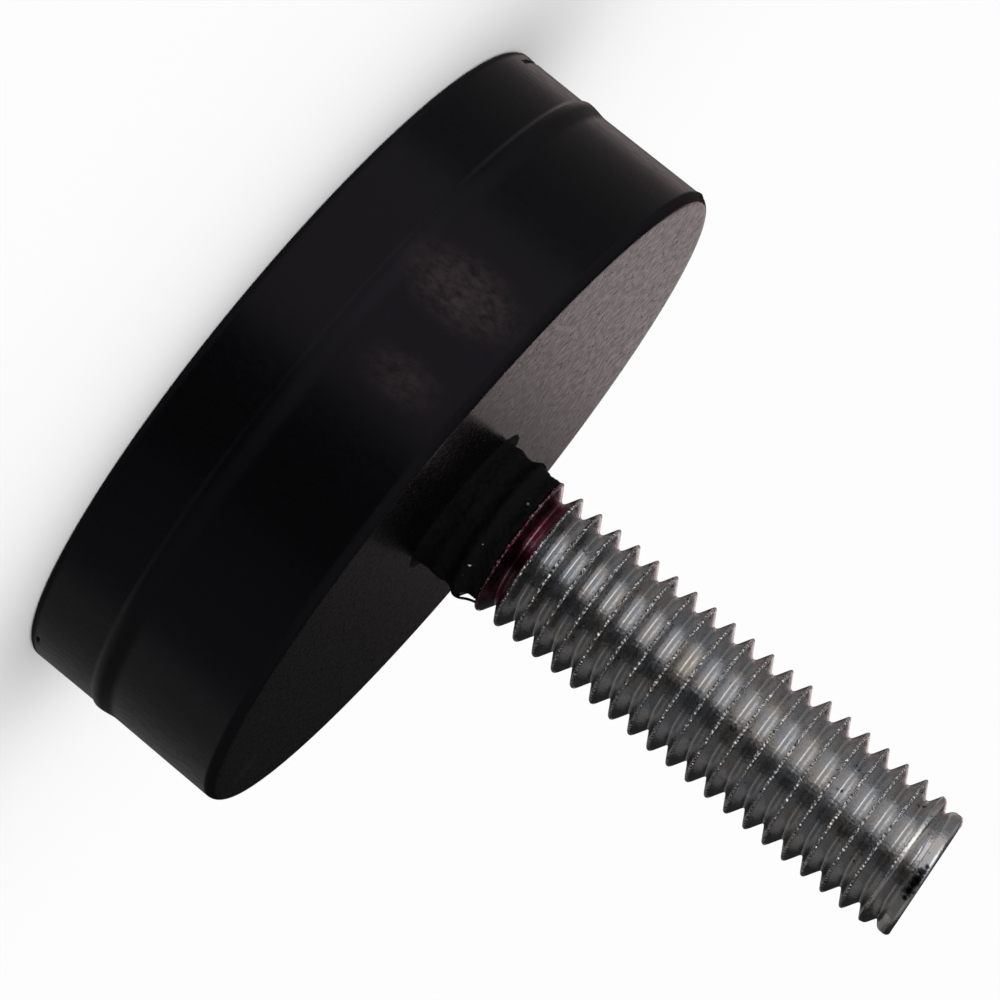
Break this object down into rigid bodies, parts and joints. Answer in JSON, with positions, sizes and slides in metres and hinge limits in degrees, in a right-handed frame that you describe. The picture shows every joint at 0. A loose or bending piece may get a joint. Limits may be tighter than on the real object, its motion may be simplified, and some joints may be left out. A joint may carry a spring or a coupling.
{
  "type": "rubber foot",
  "caption": "Round rubber foot with a flat base, a moulding lip round its side and a threaded steel stud standing out of its face.",
  "frame": {"origin": "centre of the foot's flat underside", "axes": "+Z along the stud, away from the rubber; +Y towards the longer side of the stud's cropped end"},
  "size_m": [0.0396, 0.0396, 0.0426],
  "materials": {
    "rubber": "black moulded rubber, satin",
    "zinc_plated_steel": "bright zinc plating over a rolled thread"
  },
  "bodies": {
    "root": {"rubber_pad": "rubber", "threaded_bolt": "zinc_plated_steel"}
  },
  "joints": []
}
